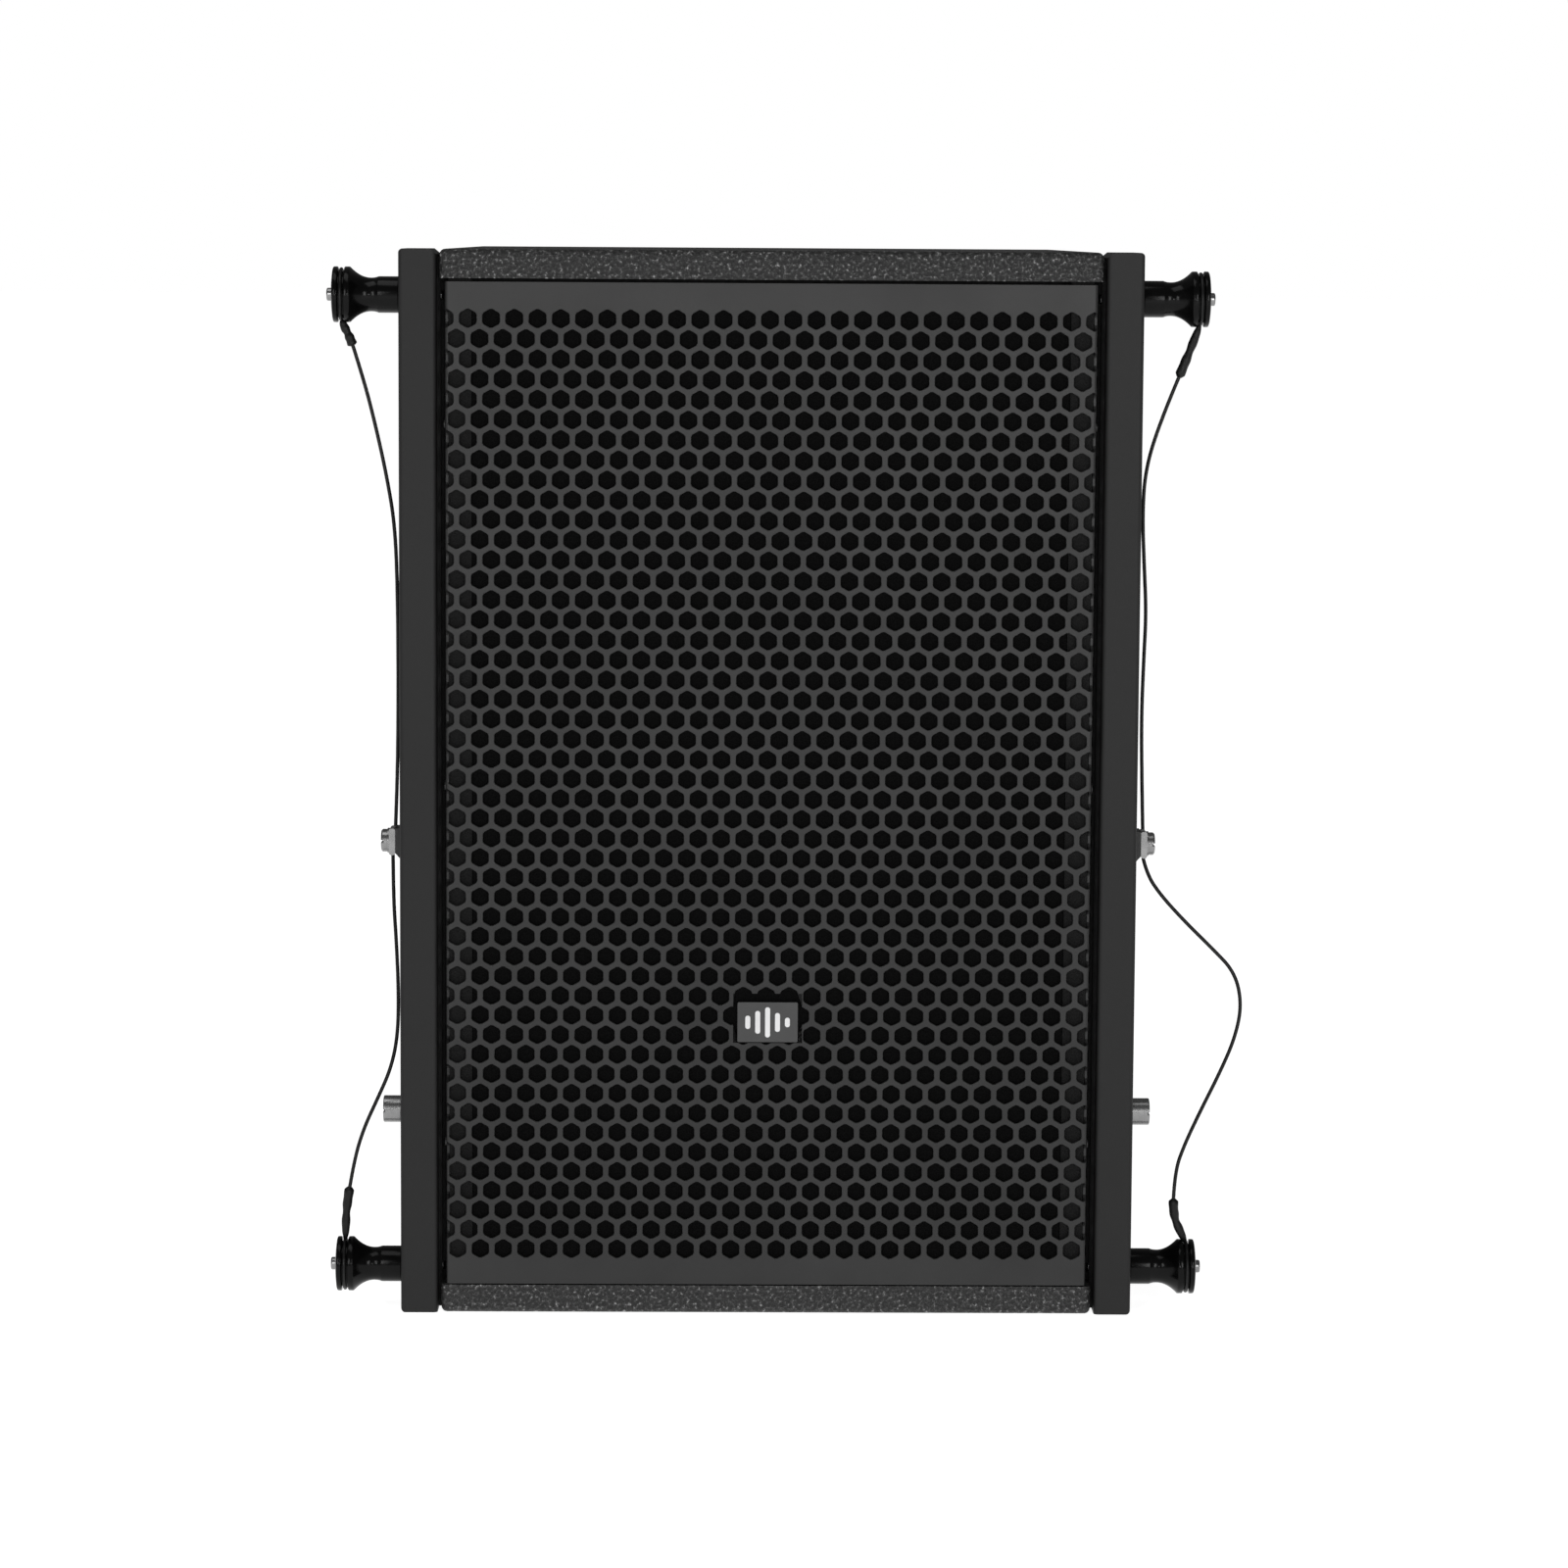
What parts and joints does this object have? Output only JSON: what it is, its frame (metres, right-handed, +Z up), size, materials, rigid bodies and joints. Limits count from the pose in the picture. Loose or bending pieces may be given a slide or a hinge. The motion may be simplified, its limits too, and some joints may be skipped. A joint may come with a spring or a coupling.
{
  "type": "line array speaker",
  "caption": "Compact line array loudspeaker: black ply cabinet, hexagon-perforated front grille, two side rigging rails with quick-release pins on lanyards.",
  "frame": {"origin": "centre of the cabinet's underside", "axes": "+Z up; the grille faces -Y; +X to the right of a person who looks at the grille"},
  "size_m": [0.4816, 0.4377, 0.5585],
  "materials": {
    "cabinet_paint": "speckled structured black paint on birch plywood",
    "baffle_paint": "matt black paint on plywood",
    "grille_steel": "satin black powder coat on perforated steel",
    "foam": "open-cell black acoustic foam",
    "badge_dark": "satin dark grey",
    "badge_light": "satin white print",
    "rail_coat": "smooth satin black powder coat",
    "black_steel": "black oxide",
    "zinc_steel": "zinc-plated steel, satin",
    "link_steel": "zinc-plated steel, dull",
    "black_plastic": "moulded glass-filled nylon, fine texture",
    "cast_black": "matt black powder coat on metal",
    "magnet_steel": "black paint on ferrite and steel",
    "horn_plastic": "moulded black plastic",
    "crossover_board": "glass-epoxy board with wound coils",
    "cable_black": "black plastic-coated steel cable and heat-shrink sleeve",
    "surround_rubber": "treated cloth and rubber",
    "cone_paper": "pressed black paper pulp",
    "pin_black": "gloss black anodised aluminium"
  },
  "bodies": {
    "root": {"top_board": "cabinet_paint", "bottom_board": "cabinet_paint", "left_side_board": "cabinet_paint", "right_side_board": "cabinet_paint", "back_board": "cabinet_paint", "front_baffle": "baffle_paint", "grille": "grille_steel", "grille_foam": "foam", "badge_plate": "badge_dark", "badge_mark": "badge_light", "left_rail": "rail_coat", "right_rail": "rail_coat", "rail_screws": "black_steel", "rail_packers": "black_steel", "front_screws": "black_steel", "clip_blocks": "black_plastic", "lanyard_clips": "zinc_steel", "clip_screws": "zinc_steel", "woofer_basket": "cast_black", "woofer_magnet": "magnet_steel", "waveguide": "horn_plastic", "compression_driver": "magnet_steel", "input_plate": "cast_black", "input_sockets": "black_plastic", "crossover": "crossover_board", "rear_top_bracket": "rail_coat", "rear_bottom_bracket": "rail_coat", "rear_screws": "zinc_steel", "left_side_handle": "black_plastic", "right_side_handle": "black_plastic", "top_left_lanyard": "cable_black", "top_right_lanyard": "cable_black", "bottom_left_lanyard": "cable_black", "bottom_right_lanyard": "cable_black", "woofer_surround": "surround_rubber", "woofer_spider": "surround_rubber"},
    "rear_arm": {"rear_splay_arm": "rail_coat"},
    "cone": {"woofer_cone": "cone_paper", "dust_cap": "cone_paper", "voice_coil": "zinc_steel"},
    "left_link": {"left_link": "link_steel", "left_link_stud": "zinc_steel"},
    "right_link": {"right_link": "link_steel", "right_link_stud": "zinc_steel"},
    "top_left_pin": {"top_left_pin_handle": "pin_black", "top_left_pin_shank": "zinc_steel", "top_left_lanyard_eye": "cable_black"},
    "top_left_button": {"top_left_pin_button": "zinc_steel"},
    "top_right_pin": {"top_right_pin_handle": "pin_black", "top_right_pin_shank": "zinc_steel", "top_right_lanyard_eye": "cable_black"},
    "top_right_button": {"top_right_pin_button": "zinc_steel"},
    "bottom_left_pin": {"bottom_left_pin_handle": "pin_black", "bottom_left_pin_shank": "zinc_steel", "bottom_left_lanyard_eye": "cable_black"},
    "bottom_left_button": {"bottom_left_pin_button": "zinc_steel"},
    "bottom_right_pin": {"bottom_right_pin_handle": "pin_black", "bottom_right_pin_shank": "zinc_steel", "bottom_right_lanyard_eye": "cable_black"},
    "bottom_right_button": {"bottom_right_pin_button": "zinc_steel"}
  },
  "joints": [
    {"name": "top_left_pin_pull", "type": "slide", "parent": "root", "child": "top_left_pin", "axis": [-1, 0, 0], "range_m": [0, 0.042]},
    {"name": "top_left_button_press", "type": "slide", "parent": "top_left_pin", "child": "top_left_button", "axis": [1, 0, 0], "range_m": [0, 0.0026], "stiffness_N_per_m": 900, "springref_m": -0.002},
    {"name": "top_right_pin_pull", "type": "slide", "parent": "root", "child": "top_right_pin", "axis": [1, 0, 0], "range_m": [0, 0.042]},
    {"name": "top_right_button_press", "type": "slide", "parent": "top_right_pin", "child": "top_right_button", "axis": [-1, 0, 0], "range_m": [0, 0.0026], "stiffness_N_per_m": 900, "springref_m": -0.002},
    {"name": "bottom_left_pin_pull", "type": "slide", "parent": "root", "child": "bottom_left_pin", "axis": [-1, 0, 0], "range_m": [0, 0.042]},
    {"name": "bottom_left_button_press", "type": "slide", "parent": "bottom_left_pin", "child": "bottom_left_button", "axis": [1, 0, 0], "range_m": [0, 0.0026], "stiffness_N_per_m": 900, "springref_m": -0.002},
    {"name": "bottom_right_pin_pull", "type": "slide", "parent": "root", "child": "bottom_right_pin", "axis": [1, 0, 0], "range_m": [0, 0.042]},
    {"name": "bottom_right_button_press", "type": "slide", "parent": "bottom_right_pin", "child": "bottom_right_button", "axis": [-1, 0, 0], "range_m": [0, 0.0026], "stiffness_N_per_m": 900, "springref_m": -0.002},
    {"name": "left_link_drop", "type": "slide", "parent": "root", "child": "left_link", "axis": [0, 0, -1], "range_m": [0, 0.046]},
    {"name": "right_link_drop", "type": "slide", "parent": "root", "child": "right_link", "axis": [0, 0, -1], "range_m": [0, 0.046]},
    {"name": "rear_arm_swing", "type": "hinge", "parent": "root", "child": "rear_arm", "pos_m": [0, 0.224, 0.5345], "axis": [1, 0, 0], "range_deg": [0, 180]},
    {"name": "cone_travel", "type": "slide", "parent": "root", "child": "cone", "axis": [0, -1, 0], "range_m": [-0.0045, 0.0045], "stiffness_N_per_m": 3000, "deforming": ["woofer_surround", "woofer_spider"]}
  ]
}
